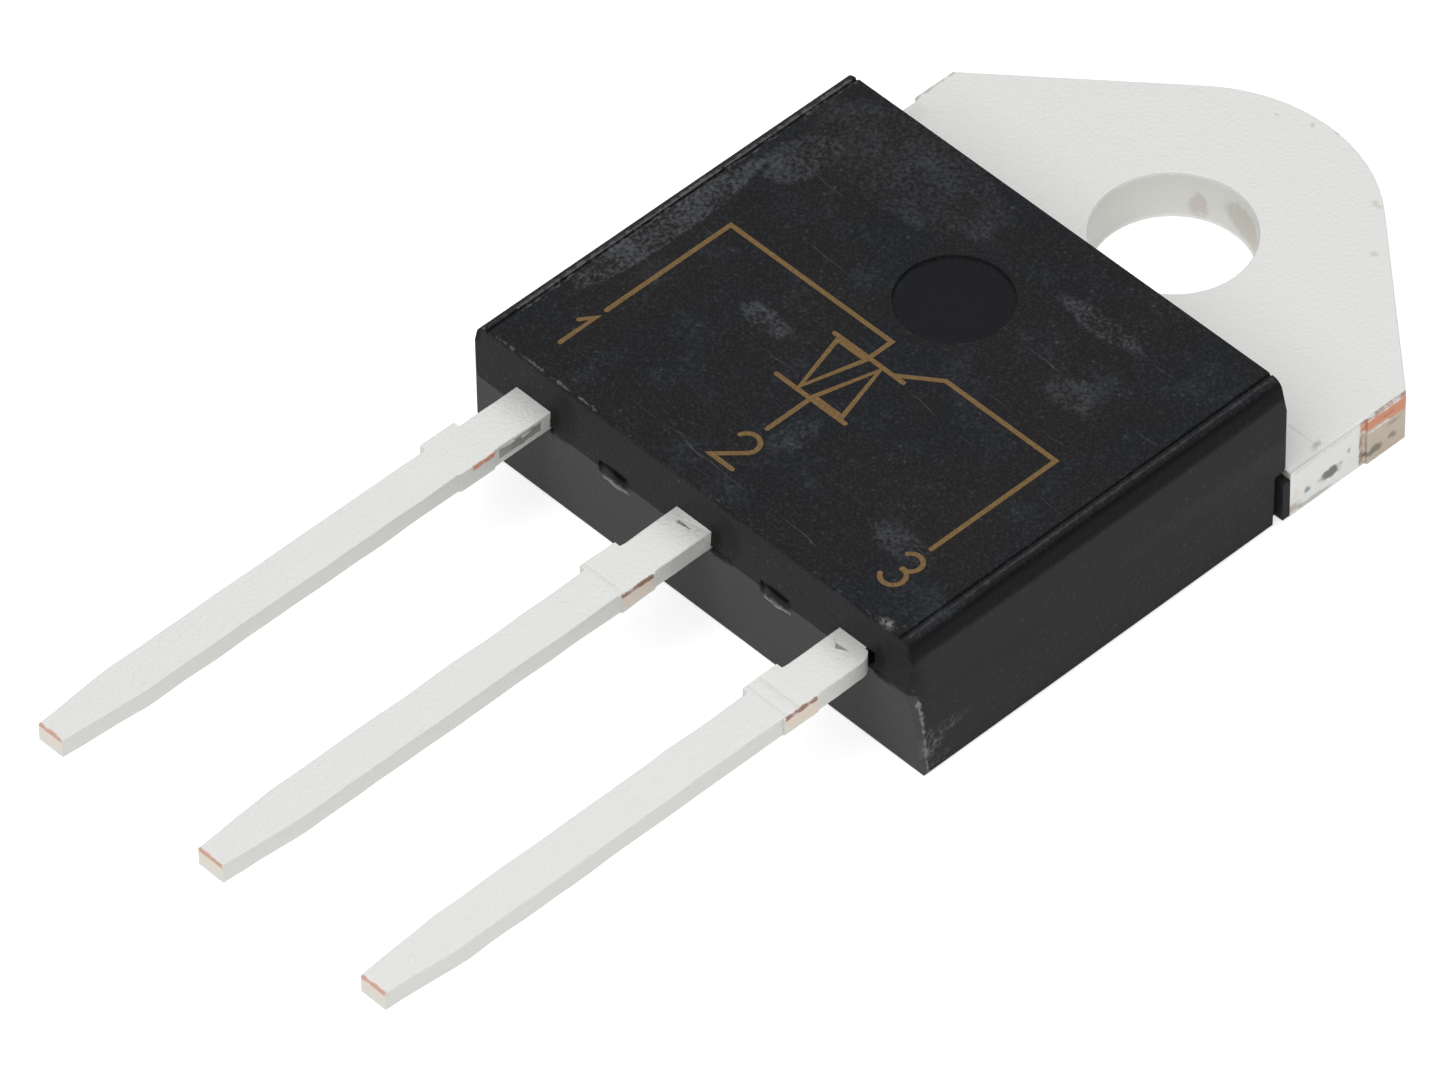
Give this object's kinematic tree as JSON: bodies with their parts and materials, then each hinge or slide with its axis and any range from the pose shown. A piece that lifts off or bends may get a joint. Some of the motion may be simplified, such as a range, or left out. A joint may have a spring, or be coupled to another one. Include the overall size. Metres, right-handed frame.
{
  "type": "triac",
  "caption": "Triac in a flat black moulded package with straight flat leads at one end and a plated screw tab with a hole at the other.",
  "frame": {"origin": "axis of the screw hole, on the bare metal back that lies on the cooler", "axes": "+Z out of the marked top, along the screw hole; +Y towards the tab's rounded tip, so the leads run towards -Y; +X to the right with the leads towards the viewer"},
  "size_m": [0.0152, 0.0365, 0.0045],
  "materials": {
    "epoxy": "fine matt moulded epoxy, faint pale scuffs",
    "plated_tab": "satin plating over copper",
    "tinned_lead": "dull tin plating over copper",
    "solder": "dull solder",
    "bare_copper": "bare copper",
    "alumina": "white fired ceramic",
    "silicon": "polished silicon with a glass edge"
  },
  "bodies": {
    "root": {"moulded_body": "epoxy", "heatsink_tab": "plated_tab", "lower_solder": "solder", "ceramic_lower_copper": "bare_copper", "ceramic_plate": "alumina", "ceramic_upper_copper": "bare_copper", "upper_solder": "solder", "lead_a2": "tinned_lead", "die_solder": "solder", "silicon_die": "silicon", "a1_die_solder": "solder", "a1_clip": "bare_copper", "a1_lead_solder": "solder", "lead_a1": "tinned_lead", "gate_die_solder": "solder", "gate_clip": "bare_copper", "gate_lead_solder": "solder", "lead_gate": "tinned_lead"}
  },
  "joints": []
}
